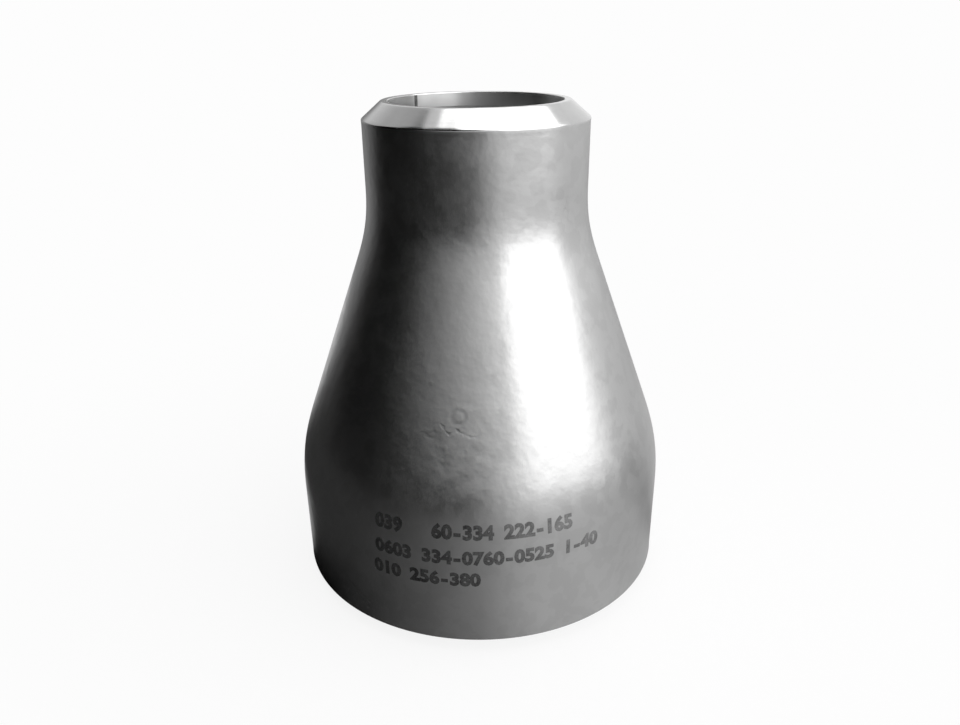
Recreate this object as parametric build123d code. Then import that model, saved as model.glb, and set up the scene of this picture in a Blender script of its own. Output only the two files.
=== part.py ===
from build123d import *
import math
import os

# Concentric butt weld reducer, pressed in one piece from steel tube.
# Lengths are in millimetres and angles in degrees.
# The origin is the centre of the large end, which rests at z = 0, and +Z runs to the small end.

# Tube sizes at the two weld ends
large_diameter = 60.3
small_diameter = 33.4
large_wall = 3.9
small_wall = 3.9

# Lengths along the axis
length = 76.0
large_run = 22.2  # from the large end to where the cone would meet the large tube
small_run = 16.5  # from the small end to where the cone would meet the small tube

# Outside radii of the two pressed bends
shoulder_radius = 38.0
neck_radius = 36.0

# Weld preparation, which both ends share
root_face = 1.0
bevel_angle = 40.0  # from the plane of the end
edge_break = 0.15

large_outside = large_diameter / 2
small_outside = small_diameter / 2
large_bore = large_outside - large_wall
small_bore = small_outside - small_wall

shoulder_height = large_run
neck_height = length - small_run
cone_rise = neck_height - shoulder_height
cone_angle = math.atan2(large_outside - small_outside, cone_rise)  # from the axis


def bore_height(outside_height, wall):
    """Height of the bend's corner on the bore: it lies below the outside one, as the wall is square to the cone."""
    return outside_height - wall * math.tan(cone_angle / 2)


def bevel_rise(wall):
    """Height of the weld bevel on an end with this wall."""
    return (wall - root_face) * math.tan(math.radians(bevel_angle))


def section():
    """Half section of the wall as corners (radius, height) with the radius that rounds each one."""
    return [
        # Large end: root face and bevel
        ((large_bore, 0), edge_break),
        ((large_bore + root_face, 0), edge_break),
        ((large_outside, bevel_rise(large_wall)), edge_break),
        # Outside, from the large end up
        ((large_outside, shoulder_height), shoulder_radius),
        ((small_outside, neck_height), neck_radius),
        # Small end: bevel and root face
        ((small_outside, length - bevel_rise(small_wall)), edge_break),
        ((small_bore + root_face, length), edge_break),
        ((small_bore, length), edge_break),
        # Bore, from the small end down
        ((small_bore, bore_height(neck_height, small_wall)), neck_radius + small_wall),
        ((large_bore, bore_height(shoulder_height, large_wall)), shoulder_radius - large_wall),
    ]


def reducer():
    """The whole fitting: the half section turned once around the axis."""
    corners = [corner for corner, _ in section()]
    roundings = [rounding for _, rounding in section()]
    outline = FilletPolyline(*corners, radius=roundings, close=True)
    wall = make_face(Plane.XZ * outline)
    return revolve(wall, axis=Axis.Z, revolution_arc=360)


os.makedirs("parts", exist_ok=True)
export_step(reducer(), "parts/reducer.step")
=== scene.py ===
import math

import bmesh
import bpy
import numpy as np
from mathutils import Matrix, Vector, noise


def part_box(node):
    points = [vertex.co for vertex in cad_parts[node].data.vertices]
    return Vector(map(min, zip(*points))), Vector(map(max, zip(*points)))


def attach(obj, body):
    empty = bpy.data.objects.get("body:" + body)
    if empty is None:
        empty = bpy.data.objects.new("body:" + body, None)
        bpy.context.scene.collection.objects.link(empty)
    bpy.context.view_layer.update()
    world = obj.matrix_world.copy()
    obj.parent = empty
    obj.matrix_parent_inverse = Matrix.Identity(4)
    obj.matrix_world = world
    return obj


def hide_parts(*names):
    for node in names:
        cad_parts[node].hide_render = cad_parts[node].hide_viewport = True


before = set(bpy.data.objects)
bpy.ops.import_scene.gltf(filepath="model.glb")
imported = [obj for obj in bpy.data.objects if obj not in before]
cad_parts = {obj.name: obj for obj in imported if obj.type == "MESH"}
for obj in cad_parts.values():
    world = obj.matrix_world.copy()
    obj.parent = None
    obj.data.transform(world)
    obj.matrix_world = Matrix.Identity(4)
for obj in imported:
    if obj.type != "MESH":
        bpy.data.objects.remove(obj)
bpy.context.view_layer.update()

# A concentric butt weld reducer of satin steel, standing on its large end.
# The axis is Z and the camera looks along +Y. Lengths are in metres unless a name says otherwise,
# and an azimuth counts in degrees from the side that faces the camera, positive to its right.

MM = 0.001

# Sizes of the part, the same as its solid's
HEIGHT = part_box("reducer")[1].z
LARGE_OUTSIDE = 60.3 / 2 * MM
SMALL_OUTSIDE = 33.4 / 2 * MM
WALL = 3.9 * MM
LARGE_RUN = 22.2 * MM
SMALL_RUN = 16.5 * MM
SHOULDER_RADIUS = 38.0 * MM
NECK_RADIUS = 36.0 * MM
ROOT_FACE = 1.0 * MM
BEVEL_ANGLE = math.radians(40)
EDGE_BREAK = 0.15 * MM
CONE_ANGLE = math.atan2(LARGE_OUTSIDE - SMALL_OUTSIDE, HEIGHT - LARGE_RUN - SMALL_RUN)
BEVEL_RISE = (WALL - ROOT_FACE) * math.tan(BEVEL_ANGLE)

# A pressed bend eases in and out, so it is longer than a plain arc of its smallest radius
SHOULDER_EASE = 1.12
NECK_EASE = 1.0
# The neck's highlight in the photograph starts a little below a plain arc's
NECK_LOWER = 1.0 * MM

# The pressed skin lies a little inside its nominal surface, with long and short waves
SKIN_INSET = 0.028 * MM
LONG_WAVES_PER_METRE = 45
LONG_WAVE_DEPTH = 0.010 * MM
SHORT_WAVES_PER_METRE = 260
SHORT_WAVE_DEPTH = 0.003 * MM
SHORT_WAVE_START = Vector((7, 3, 1))

# The turned mouths, and the nick in the small one
MOUTH_DEPTH = 3.5 * MM
NICK_AZIMUTH = -133.5
NICK_HALF_WIDTH = 2.0
NICK_DEPTH = 0.18 * MM
NICK_RUN_OUT = 1.0 * MM
SCALED_SHARE = 0.15  # scale covers the nick where it is deeper than this share of its depth

# Zones of the wall's surface, in the order of its materials
PRESSED, BEVELLED, TURNED, BORE, SCALED = range(5)

# Mesh
COLUMNS = 384
OUTSIDE_ROWS = 165
BORE_ROWS = 40
BEVEL_ROWS = 10
FACE_ROWS = 5
EDGE_ROWS = 4
CARD_COLUMNS = 96
LINE_STEPS = 4000
MAP_MARGIN = 0.002
SEAM_GAP = 1e-6

# Handling marks on the skin: from and to as (azimuth, height in mm), half width and depth in mm.
# A depth below 0 is a raised edge.
MARKS = (
    ((-18.8, 34.6), (-12.9, 34.9), 0.40, -0.010),
    ((-17.1, 34.1), (-12.9, 33.7), 0.40, 0.008),
    ((-12.2, 35.6), (-9.6, 34.4), 0.34, 0.016),
    ((-9.6, 34.4), (-6.8, 35.0), 0.35, 0.010),
    ((-6.8, 35.0), (-3.2, 34.2), 0.40, 0.012),
    ((-3.2, 34.2), (0.0, 34.4), 0.35, 0.010),
    ((-12.5, 34.4), (-12.4, 32.6), 0.38, 0.012),
    ((47.8, 63.4), (45.6, 57.8), 0.14, 0.012),
    ((-43.0, 7.4), (-35.0, 5.6), 0.30, 0.016),
    ((-40.0, 6.0), (-34.5, 4.2), 0.25, 0.016),
    ((128.0, 40.0), (141.0, 37.0), 0.25, 0.012),
    ((-108.0, 25.0), (-99.0, 27.5), 0.30, 0.014),
)
# Small dents and raised spots: azimuth, height, radius and depth in mm
SPOTS = (
    (-10.8, 32.6, 0.65, -0.012),
    (-4.5, 32.1, 0.50, 0.008),
    (-10.8, 31.3, 0.45, 0.010),
    (-27.5, 47.8, 0.60, -0.012),
    (-16.7, 40.9, 0.50, -0.012),
    (-19.4, 38.8, 0.60, 0.010),
    (6.7, 10.6, 0.70, 0.010),
    (174.0, 27.0, 0.60, 0.010),
)
# A small round ring, pressed in
RING_AZIMUTH = -6.8
RING_HEIGHT = 36.75 * MM
RING_RADIUS = 0.95 * MM
RING_HALF_WIDTH = 0.55 * MM
RING_DEPTH = 0.016 * MM
# A mark this deep gets the darkest painted shade of any mark
DARKEST_DEPTH = 0.016 * MM

# With a lower roughness the noise filter leaves specks on the skin
LEAST_ROUGHNESS = 0.288
# Nearly all of a noise pattern lies between these
NOISE_LOW = 0.28
NOISE_HIGH = 0.72

# Printed marking, plain numbers taken from the part's own sizes: middle height, azimuth of its start and text
MARKING = (
    (21.3 * MM, -30.7, "039   60-334 222-165"),
    (17.2 * MM, -30.8, "0603 334-0760-0525 1-40"),
    (13.5 * MM, -31.6, "010 256-380"),
)
FIGURE_HEIGHT = 2.2 * MM
FIGURE_PITCH = 1.5 * MM
INK_THICKNESS = 0.018 * MM
INK_SINK = 0.036 * MM
# In the font's own units: how much bolder than the font the figures are, and the bands they are cut into
FIGURE_BOLDER = 0.055
BAND_HEIGHT = 0.1
FIGURE_BANDS = 8

# Camera, from the photograph's frame and outline
PHOTO_WIDTH = 960
PHOTO_HEIGHT = 725
FOCAL_PX = 818.6
PRINCIPAL_Y_PX = 400.0
CAMERA_PLACE = (0.1 * MM, -125.7 * MM, 86.7 * MM)
CAMERA_PITCH = 0.4377  # downwards, in radians
CAMERA_ROLL = -0.0117
SENSOR_WIDTH_MM = 36.0
CLIP_START = 5 * MM

# Levels of light: a background of 1 is white
BACKGROUND = 0.982
FILL = 0.35
LAMP = 1.5
PANEL = 2.8
CARD_LEVEL = 0.004
GROUND_LEVEL = 0.042

# The softbox, which faces the middle of the part from the right and above
SOFTBOX_AZIMUTH = 62.5
SOFTBOX_ELEVATION = 57.3
SOFTBOX_DISTANCE = 0.6
SOFTBOX_ROLL = -0.14
SOFTBOX_WIDTH = 1.06
SOFTBOX_HEIGHT = 1.74
# Outline of the panel that the steel mirrors, narrower towards its top
PANEL_OUTLINE = (
    (-0.52, -0.87), (0.485, -0.87), (0.475, 0.17), (0.53, 0.23), (0.53, 0.77),
    (-0.14, 0.77), (-0.20, 0.20), (-0.32, -0.15), (-0.44, -0.45),
)

# The floor, and where it takes the part's shadow
FLOOR_HALF = 4.0
FLOOR_GREY = 0.9
SHADOW_RADII = (0.04, 0.14)
GLOW_NEAR_PART = 0.88

# Dark cards round the part, as sections (radius, height). The ground starts in the gap under the bevel.
CARD_RADIUS = 0.26
WALL_SECTION = ((CARD_RADIUS, 0.0), (CARD_RADIUS, 0.295), (0.15, 0.36), (0.06, 0.40))
GROUND_SECTION = ((27.7 * MM, 0.12 * MM), (31 * MM, 0.3 * MM), (CARD_RADIUS, 0.3 * MM))
# Azimuths and how much of the white background a card hides there
WALL_LEFT_LOW = ((-179, 0.7), (-165, 0.78), (-145, 0.66), (-130, 0.76), (-116, 0.97), (-105, 1.0))
WALL_LEFT_HIGH = (
    (-165, 0.0), (-148, 0.22), (-141, 0.32), (-134, 0.42), (-127, 0.44), (-119, 0.37), (-112, 1.0),
)
WALL_FRONT_LOW = ((-20, 1.0), (0, 0.95), (20, 0.15), (45, 0.12), (70, 0.0))
WALL_FRONT_HIGH = (
    (-80, 1.0), (-62, 0.98), (-50, 0.90), (-40, 0.79), (-25, 0.60), (-8, 0.33), (8, 0.05), (20, 0.0),
)
WALL_RIGHT = ((65, 0.0), (85, 0.14), (125, 0.2), (145, 0.38), (160, 0.58), (179, 0.7))
ROOF = ((-105, 0.0), (-95, 1.0), (2, 1.0), (12, 0.0))
GROUND_LEFT = ((-179, 0.35), (-160, 0.1), (-148, 0.0), (-141, 0.25), (-131, 0.96), (-124, 1.0))
GROUND = (
    (-60, 1.0), (-40, 0.97), (-20, 0.89), (0, 0.74), (20, 0.41), (45, 0.32), (65, 0.40), (80, 0.44),
    (95, 0.66), (108, 0.42), (130, 0.36), (150, 0.5), (179, 0.35),
)
# Heights between which the wall goes over from its low to its high stops, and starts or ends
FRONT_CHANGE = (0.055, 0.10)
LEFT_CHANGE = (0.10, 0.16)
LEFT_END = (0.355, 0.362)
RIGHT_END = (0.035, 0.075)
ROOF_START = (0.20, 0.24)
# The ground card's painted shadow of the part is darkest close to the part, and on the left its stops are
# turned there
GROUND_DARK_RADII = (0.029, 0.046)
GROUND_TURN = 50
GROUND_TURN_RADII = (0.032, 0.062)
GROUND_TURN_AZIMUTHS = (-83.1, -63.0)


def link(thing):
    bpy.context.scene.collection.objects.link(thing)
    return thing


# Shape


def eased(t):
    """Rises from 0 to 1 as t does, level at both ends."""
    t = np.clip(t, 0, 1)
    return t * t * (3 - 2 * t)


def wall_line(heights, large, small, low, high, low_radius, high_radius):
    """Radius at each height of a wall that leaves large at the bend low and meets small at the bend high."""
    fine = np.linspace(0, HEIGHT, LINE_STEPS)
    low_width = SHOULDER_EASE * CONE_ANGLE * low_radius
    high_width = NECK_EASE * CONE_ANGLE * high_radius
    leaning = eased((fine - low) / low_width + 0.5) - eased((fine - high) / high_width + 0.5)
    run = np.cumsum(leaning)
    return np.interp(heights, fine, large - (large - small) * run / run[-1])


def outside_radius(heights):
    neck = HEIGHT - SMALL_RUN - NECK_LOWER
    return wall_line(heights, LARGE_OUTSIDE, SMALL_OUTSIDE, LARGE_RUN, neck, SHOULDER_RADIUS, NECK_RADIUS)


def bore_radius(heights):
    lower = WALL * math.tan(CONE_ANGLE / 2)
    return wall_line(
        heights,
        LARGE_OUTSIDE - WALL,
        SMALL_OUTSIDE - WALL,
        LARGE_RUN - lower,
        HEIGHT - SMALL_RUN - NECK_LOWER - lower,
        SHOULDER_RADIUS - WALL,
        NECK_RADIUS + WALL,
    )


def broken_corner(before, corner, after):
    """The points of a small round edge in place of a corner."""
    into = (before - corner) / np.linalg.norm(before - corner)
    out = (after - corner) / np.linalg.norm(after - corner)
    start = corner + into * EDGE_BREAK
    end = corner + out * EDGE_BREAK
    t = np.linspace(0, 1, EDGE_ROWS)[:, None]
    return (1 - t) ** 2 * start + 2 * t * (1 - t) * corner + t**2 * end


def end_corners(large_end):
    """Corners of one end's weld preparation, from the outside wall to the bore."""
    outside = LARGE_OUTSIDE if large_end else SMALL_OUTSIDE
    corners = [(outside, BEVEL_RISE), (outside - WALL + ROOT_FACE, 0), (outside - WALL, 0)]
    if not large_end:
        corners = [(radius, HEIGHT - height) for radius, height in corners]
    return [np.array(corner) for corner in corners]


def between(start, end, rows):
    """Points of a straight line, without its two ends."""
    return start + (end - start) * np.linspace(0, 1, rows)[1:-1, None]


def end_profile(large_end):
    """The machined end as points (radius, height), from the outside wall to the bore."""
    shoulder, toe, lip = end_corners(large_end)
    inward = np.array((0, WALL if large_end else -WALL))
    first = broken_corner(shoulder + inward, shoulder, toe)
    second = broken_corner(shoulder, toe, lip)
    third = broken_corner(toe, lip, lip + inward)
    bevel = between(first[-1], second[0], BEVEL_ROWS)
    face = between(second[-1], third[0], FACE_ROWS)
    return np.vstack([first, bevel, second, face, third])


def bore_zone(height):
    """The mouths are turned true for a few millimetres in."""
    turned = min(height, HEIGHT - height) < MOUTH_DEPTH
    return TURNED if turned else BORE


def profile():
    """Closed section of the wall, as points (radius, height) and the zone of each step between them."""
    small_end = end_profile(False)
    large_end = end_profile(True)[::-1]
    outside_z = np.linspace(large_end[-1][1], small_end[0][1], OUTSIDE_ROWS)[1:-1]
    outside = np.column_stack([outside_radius(outside_z), outside_z])
    bore_z = np.linspace(small_end[-1][1], large_end[0][1], BORE_ROWS)[1:-1]
    bore = np.column_stack([bore_radius(bore_z), bore_z])
    points = np.vstack([outside, small_end, bore, large_end])
    zones = [PRESSED] * len(outside) + [BEVELLED] * (len(small_end) - 1)
    zones += [bore_zone(z) for z in bore_z] + [BEVELLED] * len(large_end) + [PRESSED]
    return points, zones


def turned_vertices(points):
    """The section turned round the axis, as an array (column, row, coordinate)."""
    angles = 2 * math.pi * np.arange(COLUMNS) / COLUMNS
    vertices = np.empty((COLUMNS, len(points), 3))
    vertices[:, :, 0] = np.outer(np.sin(angles), points[:, 0])
    vertices[:, :, 1] = np.outer(-np.cos(angles), points[:, 0])
    vertices[:, :, 2] = points[:, 1]
    return vertices


def waviness(place):
    """How far the pressed skin lies inside its nominal surface there."""
    long_wave = noise.fractal(place * LONG_WAVES_PER_METRE, 1.0, 2.0, 2)
    short_wave = noise.fractal(place * SHORT_WAVES_PER_METRE + SHORT_WAVE_START, 1.0, 2.0, 2)
    return SKIN_INSET - LONG_WAVE_DEPTH * long_wave - SHORT_WAVE_DEPTH * short_wave


def make_wavy(vertices, zones):
    """Moves the pressed skin in by its waviness."""
    wavy_rows = [j for j, zone in enumerate(zones) if zone == PRESSED and zones[j - 1] == PRESSED]
    for column in vertices:
        for j in wavy_rows:
            place = Vector(column[j])
            column[j, :2] *= 1 - waviness(place) / math.hypot(place.x, place.y)


def nick_share(column):
    """1 in the middle of the nick and 0 from its edges on."""
    off = (360 * column / COLUMNS - NICK_AZIMUTH + 180) % 360 - 180
    return max(0.0, 1 - abs(off) / NICK_HALF_WIDTH)


def in_small_mouth(zone, height):
    return zone == TURNED and height > HEIGHT / 2


def nick_bore(vertices, points, zones):
    """A fine groove down the turned mouth, where a tool was drawn out. Dark scale is left in it."""
    for i in range(COLUMNS):
        across = nick_share(i)
        for j, zone in enumerate(zones):
            radius, height = points[j]
            if in_small_mouth(zone, height) and zones[j - 1] == TURNED:
                along = eased((height - HEIGHT + MOUTH_DEPTH) / NICK_RUN_OUT)
                vertices[i, j, :2] *= 1 + NICK_DEPTH * across * float(along) / radius


def wall_faces(points, zones):
    """Four-cornered faces between neighbouring columns and rows, and the zone of each."""
    rows = len(points)
    faces = []
    face_zones = []
    for i in range(COLUMNS):
        k = (i + 1) % COLUMNS
        nicked = nick_share(i + 0.5) > SCALED_SHARE
        for j in range(rows):
            m = (j + 1) % rows
            faces.append((i * rows + j, k * rows + j, k * rows + m, i * rows + m))
            scaled = nicked and in_small_mouth(zones[j], points[j, 1])
            face_zones.append(SCALED if scaled else zones[j])
    return faces, face_zones


def add_wrapped_map(mesh, points):
    """Lays the skin out flat: round the axis across and along the section upwards."""
    steps = np.linalg.norm(np.roll(points, -1, axis=0) - points, axis=1)
    along = np.concatenate([[0], np.cumsum(steps)]) / steps.sum()
    across = np.arange(COLUMNS + 1) / COLUMNS
    room = 1 - 2 * MAP_MARGIN
    uv = []
    for i in range(COLUMNS):
        for j in range(len(points)):
            for k, m in ((i, j), (i + 1, j), (i + 1, j + 1), (i, j + 1)):
                uv += [MAP_MARGIN + across[k] * room, MAP_MARGIN + along[m] * room]
    layer = mesh.uv_layers.new(name="OFBake")
    layer.data.foreach_set("uv", uv)


def reducer_mesh(materials):
    points, zones = profile()
    vertices = turned_vertices(points)
    make_wavy(vertices, zones)
    nick_bore(vertices, points, zones)
    faces, face_zones = wall_faces(points, zones)
    mesh = bpy.data.meshes.new("reducer_body")
    mesh.from_pydata(vertices.reshape(-1, 3).tolist(), [], faces)
    mesh.polygons.foreach_set("material_index", face_zones)
    mesh.polygons.foreach_set("use_smooth", [True] * len(faces))
    for material in materials:
        mesh.materials.append(material)
    add_wrapped_map(mesh, points)
    mesh.update()
    return mesh


# Materials


class Nodes:
    """Short calls for building the nodes of a material or a world."""

    def __init__(self, owner):
        owner.use_nodes = True
        self.owner = owner
        self.tree = owner.node_tree
        self.tree.nodes.clear()

    def add(self, kind, **settings):
        node = self.tree.nodes.new("ShaderNode" + kind)
        for name, value in settings.items():
            setattr(node, name, value)
        return node

    def plug(self, socket, value):
        if isinstance(value, bpy.types.NodeSocket):
            self.tree.links.new(value, socket)
        else:
            socket.default_value = value

    def math(self, operation, a, b=0.0, clamp=False):
        node = self.add("Math", operation=operation, use_clamp=clamp)
        self.plug(node.inputs[0], a)
        self.plug(node.inputs[1], b)
        return node.outputs[0]

    def ramp(self, value, low, high, to_low=0.0, to_high=1.0, kind="SMOOTHSTEP"):
        node = self.add("MapRange", interpolation_type=kind)
        given = (value, low, high, to_low, to_high)
        for name, number in zip(("Value", "From Min", "From Max", "To Min", "To Max"), given):
            self.plug(node.inputs[name], number)
        return node.outputs[0]

    def stops(self, value, stops):
        """Straight lines between stops (value, result)."""
        total = stops[0][1]
        for (a, low), (b, high) in zip(stops, stops[1:]):
            total = self.math("ADD", total, self.ramp(value, a, b, 0.0, high - low, "LINEAR"))
        return total

    def blend(self, low, high, share):
        """Low where share is 0 and high where it is 1."""
        return self.math("ADD", low, self.math("MULTIPLY", share, self.math("SUBTRACT", high, low)))

    def noise(self, place, size, detail=2.0, roughness=0.5, stretch=(1, 1, 1)):
        """Noise from 0 to 1 whose blotches are about size across, longer where stretch is over 1."""
        mapping = self.add("Mapping")
        self.plug(mapping.inputs["Vector"], place)
        mapping.inputs["Scale"].default_value = [1 / (size * s) for s in stretch]
        node = self.add("TexNoise")
        self.plug(node.inputs["Vector"], mapping.outputs[0])
        node.inputs["Scale"].default_value = 1.0
        node.inputs["Detail"].default_value = detail
        node.inputs["Roughness"].default_value = roughness
        return node.outputs["Fac"]

    def varied(self, middle, *parts):
        """A value round its middle: each part is a noise and how far it moves the value either way."""
        total = middle
        for pattern, reach in parts:
            total = self.math("ADD", total, self.ramp(pattern, NOISE_LOW, NOISE_HIGH, -reach, reach, "LINEAR"))
        return total

    def grey(self, value):
        node = self.add("CombineColor")
        for socket in node.inputs[:3]:
            self.plug(socket, value)
        return node.outputs[0]

    def bump(self, height, distance, normal=None):
        node = self.add("Bump")
        self.plug(node.inputs["Height"], height)
        node.inputs["Distance"].default_value = distance
        if normal is not None:
            self.plug(node.inputs["Normal"], normal)
        return node.outputs[0]

    def place(self):
        return self.add("TexCoord").outputs["Object"]

    def split(self, place):
        node = self.add("SeparateXYZ")
        self.plug(node.inputs[0], place)
        return node.outputs

    def radius(self, place):
        """Distance from the axis."""
        x, y, _ = self.split(place)
        return self.math("SQRT", self.math("ADD", self.math("MULTIPLY", x, x), self.math("MULTIPLY", y, y)))

    def azimuth(self, place):
        """Azimuth round the axis in degrees."""
        x, y, _ = self.split(place)
        return self.math("DEGREES", self.math("ARCTAN2", x, self.math("MULTIPLY", y, -1.0)))

    def distance(self, a, b):
        gap = self.add("VectorMath", operation="DISTANCE")
        self.plug(gap.inputs[0], a)
        self.plug(gap.inputs[1], b)
        return gap.outputs["Value"]

    def distance_to_line(self, place, start, end):
        """Distance from a straight line between two points."""
        along = end - start
        offset = self.add("VectorMath", operation="SUBTRACT")
        self.plug(offset.inputs[0], place)
        self.plug(offset.inputs[1], start)
        dot = self.add("VectorMath", operation="DOT_PRODUCT")
        self.plug(dot.inputs[0], offset.outputs[0])
        self.plug(dot.inputs[1], along / along.length_squared)
        share = self.math("ADD", dot.outputs["Value"], 0.0, clamp=True)
        nearest = self.add("VectorMath", operation="SCALE")
        self.plug(nearest.inputs[0], along)
        self.plug(nearest.inputs["Scale"], share)
        return self.distance(offset.outputs[0], nearest.outputs[0])

    def sees_background(self):
        """1 for a ray that shows the background: from the camera, off a glossy surface or through glass."""
        path = self.add("LightPath").outputs
        total = path["Is Camera Ray"]
        for name in ("Is Glossy Ray", "Is Transmission Ray"):
            total = self.math("ADD", total, path[name], clamp=True)
        return total

    def steel(self, shade, roughness, normal):
        shader = self.add("BsdfPrincipled")
        shader.inputs["Metallic"].default_value = 1.0
        self.plug(shader.inputs["Base Color"], self.grey(shade))
        self.plug(shader.inputs["Roughness"], roughness)
        self.plug(shader.inputs["Normal"], normal)
        return shader

    def mix(self, share, first, second):
        """The first shader where share is 0 and the second where it is 1."""
        node = self.add("MixShader")
        self.plug(node.inputs[0], share)
        self.plug(node.inputs[1], first.outputs[0])
        self.plug(node.inputs[2], second.outputs[0])
        return node

    def finish(self, shader, kind="OutputMaterial"):
        out = self.add(kind)
        self.plug(out.inputs["Surface"], shader.outputs[0])
        return self.owner


def material_nodes(name):
    return Nodes(bpy.data.materials.new(name))


def skin_point(azimuth, height):
    """The point of the outside skin at an azimuth and a height."""
    angle = math.radians(azimuth)
    radius = float(outside_radius(height))
    return Vector((radius * math.sin(angle), -radius * math.cos(angle), height))


def scratches(n, place):
    """Height in metres of the handling marks, as a sum of soft grooves and dents, broken up by noise."""
    ragged = n.ramp(n.noise(place, 0.7 * MM), 0.3, 0.7, -0.15 * MM, 0.15 * MM, "LINEAR")
    height = 0.0
    for start, end, half_width, depth in MARKS:
        ends = [skin_point(azimuth, level * MM) for azimuth, level in (start, end)]
        gap = n.math("ADD", n.distance_to_line(place, *ends), ragged)
        height = n.math("ADD", n.ramp(gap, 0.0, half_width * MM, -depth * MM, 0.0), height)
    for azimuth, level, reach, depth in SPOTS:
        gap = n.math("ADD", n.distance(place, skin_point(azimuth, level * MM)), ragged)
        height = n.math("ADD", n.ramp(gap, 0.0, reach * MM, -depth * MM, 0.0), height)
    strength = n.ramp(n.noise(place, 1.3 * MM), 0.38, 0.56, 0.4, 1.15)
    return n.math("ADD", n.math("MULTIPLY", height, strength), pressed_ring(n, place))


def pressed_ring(n, place):
    """Height in metres of the small round ring."""
    gap = n.math("SUBTRACT", n.distance(place, skin_point(RING_AZIMUTH, RING_HEIGHT)), RING_RADIUS)
    return n.ramp(n.math("ABSOLUTE", gap), 0.0, RING_HALF_WIDTH, -RING_DEPTH, 0.0)


def pressed_steel():
    """The formed skin: blasted and pickled, with fine grain, faint draw lines and cloudy patches."""
    n = material_nodes("pressed_steel")
    place = n.place()
    grain = n.noise(place, 0.3 * MM)
    pebble = n.noise(place, 0.95 * MM)
    blotch = n.noise(place, 2.3 * MM)
    patch = n.ramp(n.noise(place, 2.6 * MM), 0.42, 0.56)
    cloud = n.noise(place, 8 * MM, detail=3)
    draw = n.noise(place, 0.6 * MM, stretch=(1, 1, 30))
    # The skin is more uneven on the left of the part than on its right
    uneven = n.ramp(n.split(place)[0], -6 * MM, 18 * MM, 1.0, 0.5)
    marks = scratches(n, place)
    # Painted shade: a mark is darker the further it lies from the skin, whether sunk or raised
    worked = n.math("MULTIPLY", n.math("ABSOLUTE", marks), 1 / DARKEST_DEPTH, clamp=True)
    shade = n.varied(0.515, (cloud, 0.015), (patch, 0.012))
    shade = n.math("SUBTRACT", shade, n.math("MULTIPLY", worked, 0.05))
    rough = n.varied(0.31, (grain, 0.01), (pebble, 0.015), (cloud, 0.015), (draw, 0.01), (patch, 0.014))
    rough = n.math("MAXIMUM", rough, LEAST_ROUGHNESS)
    normal = n.bump(marks, 1.0)
    normal = n.bump(n.math("MULTIPLY", blotch, uneven), 0.062 * MM, normal)
    normal = n.bump(n.math("MULTIPLY", pebble, uneven), 0.017 * MM, normal)
    normal = n.bump(grain, 0.003 * MM, normal)
    normal = n.bump(draw, 0.002 * MM, normal)
    return n.finish(n.steel(shade, rough, normal))


def turned_steel(name, shade, roughness, spread, ridge):
    """Turned metal with fine rings round the axis. A spread near 1 blurs a reflection across them only."""
    n = material_nodes(name)
    place = n.place()
    across = n.add("CombineXYZ")
    n.plug(across.inputs[0], n.radius(place))
    n.plug(across.inputs[1], n.split(place)[2])
    rings = n.noise(across.outputs[0], 0.14 * MM, roughness=0.6)
    bands = n.noise(across.outputs[0], 0.6 * MM, detail=1)
    cloud = n.noise(place, 3 * MM)
    rough = n.varied(roughness, (bands, 0.02), (cloud, 0.02))
    shader = n.steel(n.varied(shade, (cloud, 0.02)), rough, n.bump(rings, ridge))
    shader.inputs["Anisotropic"].default_value = spread
    shader.inputs["Anisotropic Rotation"].default_value = 0.25
    around = n.add("Tangent", direction_type="RADIAL", axis="Z")
    n.plug(shader.inputs["Tangent"], around.outputs[0])
    return n.finish(shader)


def bore_steel():
    """The inside: smooth tube with long draw lines."""
    n = material_nodes("bore_steel")
    place = n.place()
    draw = n.noise(place, 0.35 * MM, stretch=(1, 1, 40))
    cloud = n.noise(place, 5 * MM, detail=3)
    grain = n.noise(place, 0.3 * MM)
    shade = n.varied(0.38, (cloud, 0.03), (draw, 0.02))
    rough = n.varied(0.38, (cloud, 0.04))
    normal = n.bump(grain, 0.003 * MM, n.bump(draw, 0.004 * MM))
    return n.finish(n.steel(shade, rough, normal))


def oxide_scale():
    """Dark oxide left in the nick."""
    n = material_nodes("scale")
    grain = n.noise(n.place(), 0.25 * MM)
    shade = n.varied(0.11, (grain, 0.04))
    rough = n.varied(0.5, (grain, 0.06))
    return n.finish(n.steel(shade, rough, n.bump(grain, 0.01 * MM)))


def marking_ink():
    """Thin dark ink that has worn through to the steel in specks, and a painted sheen: more bare steel shows
    to the right, where the light falls on it.
    """
    n = material_nodes("marking_ink")
    place = n.place()
    specks = n.noise(place, 0.22 * MM, detail=3, roughness=0.6)
    cloud = n.noise(place, 2.5 * MM)
    ink = n.add("BsdfPrincipled")
    n.plug(ink.inputs["Base Color"], n.grey(n.varied(0.012, (cloud, 0.004))))
    n.plug(ink.inputs["Roughness"], n.varied(0.45, (specks, 0.08)))
    ink.inputs["Specular IOR Level"].default_value = 0.3
    bare = n.steel(0.5, n.varied(0.34, (specks, 0.03)), n.bump(specks, 0.003 * MM))
    # Painted sheen: the ink gives way to bare steel more to the right, where the light falls
    worn = n.ramp(n.split(place)[0], -12 * MM, 16 * MM, 0.16, 0.46)
    return n.finish(n.mix(n.varied(worn, (specks, 0.14), (cloud, 0.12)), ink, bare))


# Pieces


def add_reducer():
    bevelled = turned_steel("bevelled_steel", shade=0.53, roughness=0.17, spread=0.3, ridge=0.0015 * MM)
    turned = turned_steel("turned_steel", shade=0.45, roughness=0.38, spread=0.9, ridge=0.002 * MM)
    mesh = reducer_mesh([pressed_steel(), bevelled, turned, bore_steel(), oxide_scale()])
    body = link(bpy.data.objects.new("reducer_body", mesh))
    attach(body, "root")
    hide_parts("reducer")


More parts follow.
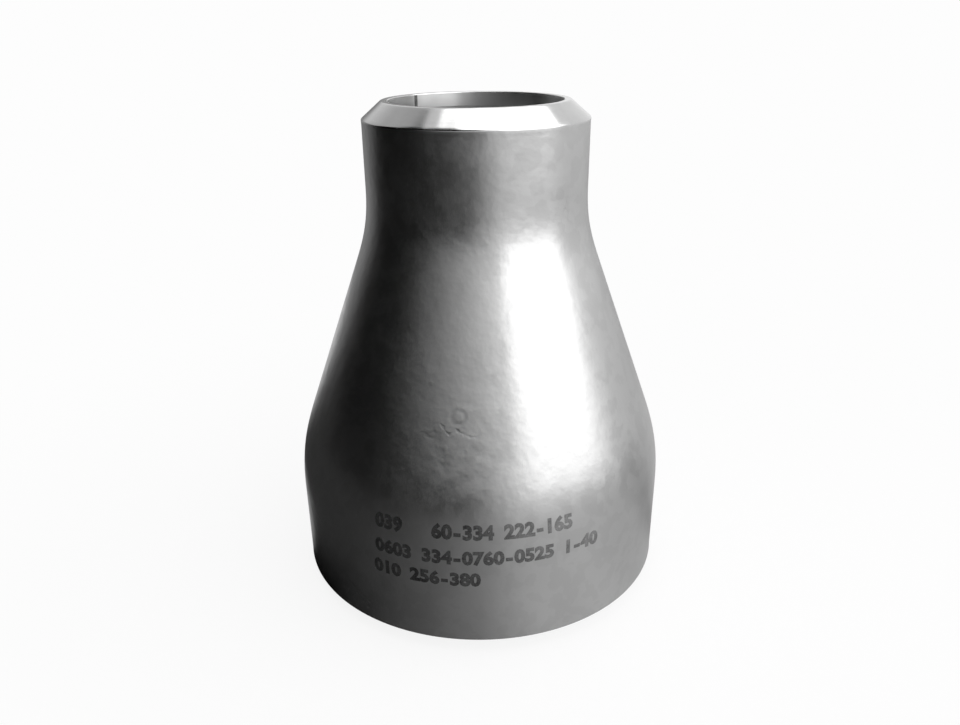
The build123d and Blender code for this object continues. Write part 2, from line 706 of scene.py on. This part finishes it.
def figure(character):
    """One printed character as points and faces of a closed slab, its foot on y = 0 and centred on x = 0."""
    curve = bpy.data.curves.new("figure", "FONT")
    curve.body = character
    curve.align_x = "CENTER"
    curve.extrude = 1.0
    curve.offset = FIGURE_BOLDER
    curve.resolution_u = 3
    sample = link(bpy.data.objects.new("figure", curve))
    bpy.context.view_layer.update()
    mesh = bpy.data.meshes.new_from_object(sample)
    bpy.data.objects.remove(sample)
    cut_across(mesh)
    points = [Vector(v.co) for v in mesh.vertices]
    faces = [list(p.vertices) for p in mesh.polygons]
    bpy.data.meshes.remove(mesh)
    bpy.data.curves.remove(curve)
    return points, faces


def cut_across(mesh):
    """Cuts a character into low bands, so that it follows the bend of the skin."""
    work = bmesh.new()
    work.from_mesh(mesh)
    for i in range(1, FIGURE_BANDS):
        everything = work.verts[:] + work.edges[:] + work.faces[:]
        cut = (0, BAND_HEIGHT * i, 0)
        bmesh.ops.bisect_plane(work, geom=everything, plane_co=cut, plane_no=(0, 1, 0))
    work.to_mesh(mesh)
    work.free()


def on_skin(start, along, z, outer):
    """A point of the ink: its outer face stands just proud of the skin, its inner one is sunk in it."""
    nominal = float(outside_radius(z))
    angle = math.radians(start) + along / LARGE_OUTSIDE
    place = Vector((nominal * math.sin(angle), -nominal * math.cos(angle), z))
    radius = nominal - waviness(place) + (INK_THICKNESS if outer else -INK_SINK)
    return (radius * math.sin(angle), -radius * math.cos(angle), z)


def marking_mesh():
    """All the printed lines, laid round the skin."""
    size = FIGURE_HEIGHT / max(p.y for p in figure("0")[0])
    figures = {c: figure(c) for _, _, text in MARKING for c in text if c != " "}
    vertices = []
    faces = []
    for height, start, text in MARKING:
        for i, character in enumerate(text):
            if character == " ":
                continue
            points, loops = figures[character]
            faces += [[len(vertices) + k for k in loop] for loop in loops]
            for p in points:
                along = (i + 0.5) * FIGURE_PITCH + p.x * size
                z = height - FIGURE_HEIGHT / 2 + p.y * size
                vertices.append(on_skin(start, along, z, p.z > 0))
    mesh = bpy.data.meshes.new("marking")
    mesh.from_pydata(vertices, [], faces)
    return mesh


def weld_seams(mesh):
    work = bmesh.new()
    work.from_mesh(mesh)
    bmesh.ops.remove_doubles(work, verts=work.verts, dist=SEAM_GAP)
    bmesh.ops.recalc_face_normals(work, faces=work.faces)
    work.to_mesh(mesh)
    work.free()


def add_marking():
    mesh = marking_mesh()
    mesh.materials.append(marking_ink())
    marking = link(bpy.data.objects.new("marking", mesh))
    weld_seams(mesh)
    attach(marking, "root")


# Studio


def add_camera():
    data = bpy.data.cameras.new("camera")
    data.sensor_width = SENSOR_WIDTH_MM
    data.lens = FOCAL_PX / PHOTO_WIDTH * SENSOR_WIDTH_MM
    data.shift_y = (PRINCIPAL_Y_PX - PHOTO_HEIGHT / 2) / PHOTO_WIDTH
    data.clip_start = CLIP_START
    camera = link(bpy.data.objects.new("camera", data))
    pitch = Matrix.Rotation(math.pi / 2 - CAMERA_PITCH, 4, "X")
    roll = Matrix.Rotation(CAMERA_ROLL, 4, "Z")
    camera.matrix_world = Matrix.Translation(CAMERA_PLACE) @ pitch @ roll
    bpy.context.scene.camera = camera


def add_world():
    """White to look at, and a weaker even fill for matte surfaces."""
    world = bpy.data.worlds.new("studio")
    bpy.context.scene.world = world
    n = Nodes(world)
    background = n.add("Background")
    background.inputs["Color"].default_value = (1, 1, 1, 1)
    level = n.ramp(n.sees_background(), 0.0, 1.0, FILL, BACKGROUND, "LINEAR")
    n.plug(background.inputs["Strength"], level)
    n.finish(background, "OutputWorld")


def softbox_place():
    """Where the softbox stands and how it is turned: it faces the middle of the part."""
    azimuth = math.radians(SOFTBOX_AZIMUTH)
    elevation = math.radians(SOFTBOX_ELEVATION)
    level = math.cos(elevation)
    direction = Vector((math.sin(azimuth) * level, -math.cos(azimuth) * level, math.sin(elevation)))
    turn = direction.to_track_quat("Z", "Y").to_matrix().to_4x4()
    middle = Vector((0, 0, HEIGHT / 2))
    stand = Matrix.Translation(middle + direction * SOFTBOX_DISTANCE)
    return stand @ turn @ Matrix.Rotation(SOFTBOX_ROLL, 4, "Z")


def show_to_steel_only(thing):
    thing.visible_camera = False
    thing.visible_diffuse = False
    thing.visible_shadow = False


def add_lamp():
    """The softbox's light on matte surfaces."""
    data = bpy.data.lights.new("softbox", "AREA")
    data.shape = "RECTANGLE"
    data.size = SOFTBOX_WIDTH
    data.size_y = SOFTBOX_HEIGHT
    data.energy = LAMP * math.pi * SOFTBOX_WIDTH * SOFTBOX_HEIGHT
    lamp = link(bpy.data.objects.new("softbox", data))
    lamp.matrix_world = softbox_place()
    lamp.visible_glossy = False


def add_panel():
    """The softbox's bright face, which the steel mirrors."""
    mesh = bpy.data.meshes.new("softbox_panel")
    mesh.from_pydata([(x, y, 0) for x, y in PANEL_OUTLINE], [], [tuple(range(len(PANEL_OUTLINE)))])
    panel = link(bpy.data.objects.new("softbox_panel", mesh))
    panel.matrix_world = softbox_place()
    n = material_nodes("softbox_panel")
    glow = n.add("Emission")
    glow.inputs["Strength"].default_value = PANEL
    n.owner.cycles.emission_sampling = "NONE"
    mesh.materials.append(n.finish(glow))
    show_to_steel_only(panel)


def add_floor():
    """A white floor: near the part it takes the part's soft shadow, and further out it is the background."""
    half = FLOOR_HALF
    corners = [(-half, -half, 0), (half, -half, 0), (half, half, 0), (-half, half, 0)]
    mesh = bpy.data.meshes.new("floor")
    mesh.from_pydata(corners, [], [(0, 1, 2, 3)])
    floor = link(bpy.data.objects.new("floor", mesh))
    n = material_nodes("floor")
    paper = n.add("BsdfDiffuse")
    paper.inputs["Color"].default_value = (FLOOR_GREY, FLOOR_GREY, FLOOR_GREY, 1)
    glow = n.add("Emission")
    glow.inputs["Strength"].default_value = BACKGROUND
    glow_share = n.ramp(n.radius(n.place()), *SHADOW_RADII, GLOW_NEAR_PART, 1.0)
    glow_share = n.math("MULTIPLY", glow_share, n.sees_background())
    mesh.materials.append(n.finish(n.mix(glow_share, paper, glow)))


def ring_mesh(name, section):
    """A surface round the axis with this section (radius, height)."""
    rows = len(section)
    vertices = []
    for i in range(CARD_COLUMNS):
        angle = 2 * math.pi * i / CARD_COLUMNS
        vertices += [(r * math.sin(angle), -r * math.cos(angle), z) for r, z in section]
    faces = []
    for i in range(CARD_COLUMNS):
        k = (i + 1) % CARD_COLUMNS
        faces += [(i * rows + j, k * rows + j, k * rows + j + 1, i * rows + j + 1) for j in range(rows - 1)]
    mesh = bpy.data.meshes.new(name)
    mesh.from_pydata(vertices, [], faces)
    return mesh


def add_card(name, section, cover_and_level):
    """A graded dark card round the part that only the steel mirrors.

    cover_and_level takes the card's nodes and gives how much it hides and how bright it is.
    """
    mesh = ring_mesh(name, section)
    card = link(bpy.data.objects.new(name, mesh))
    show_to_steel_only(card)
    n = material_nodes(name)
    cover, level = cover_and_level(n)
    clear = n.add("BsdfTransparent")
    dark = n.add("Emission")
    n.plug(dark.inputs["Strength"], level)
    n.owner.cycles.emission_sampling = "NONE"
    mesh.materials.append(n.finish(n.mix(cover, clear, dark)))


def wall_cover(n):
    """A dark room to the left that reaches round to the front and over the part."""
    place = n.place()
    azimuth = n.azimuth(place)
    z = n.split(place)[2]
    low_front = n.stops(azimuth, WALL_FRONT_LOW)
    high_front = n.stops(azimuth, WALL_FRONT_HIGH)
    front = n.blend(low_front, high_front, n.ramp(z, *FRONT_CHANGE))
    low_left = n.stops(azimuth, WALL_LEFT_LOW)
    high_left = n.math("MULTIPLY", n.stops(azimuth, WALL_LEFT_HIGH), n.ramp(z, *LEFT_END, 1.0, 0.0))
    left = n.blend(low_left, high_left, n.ramp(z, *LEFT_CHANGE))
    right = n.math("MULTIPLY", n.stops(azimuth, WALL_RIGHT), n.ramp(z, *RIGHT_END, 1.0, 0.0))
    roof = n.math("MULTIPLY", n.stops(azimuth, ROOF), n.ramp(z, *ROOF_START))
    cover = n.math("MAXIMUM", n.math("MINIMUM", left, front), n.math("MAXIMUM", right, roof))
    return cover, CARD_LEVEL


def ground_cover(n):
    """The same room's dark ground, with the part's painted shadow on it as the steel mirrors it, darkest close
    to the part. Its left end runs straight back from the part's side.
    """
    place = n.place()
    azimuth = n.azimuth(place)
    radius = n.radius(place)
    near = n.ramp(radius, *GROUND_TURN_RADII, 1.0, 0.0, "LINEAR")
    near = n.math("MULTIPLY", near, n.ramp(azimuth, *GROUND_TURN_AZIMUTHS, 1.0, 0.0))
    turned = n.math("SUBTRACT", azimuth, n.math("MULTIPLY", near, GROUND_TURN))
    cover = n.math("MINIMUM", n.stops(turned, GROUND_LEFT), n.stops(azimuth, GROUND))
    # Painted shadow: the card's glow falls to nothing close to the part
    return cover, n.ramp(radius, *GROUND_DARK_RADII, 0.0, GROUND_LEVEL)


add_camera()
add_world()
add_lamp()
add_panel()
add_floor()
add_card("dark_wall", WALL_SECTION, wall_cover)
# The ground card carries the part's painted shadow, which only the steel mirrors
add_card("ground_shadow_card", GROUND_SECTION, ground_cover)
add_reducer()
add_marking()
bpy.context.scene.view_settings.view_transform = "Standard"
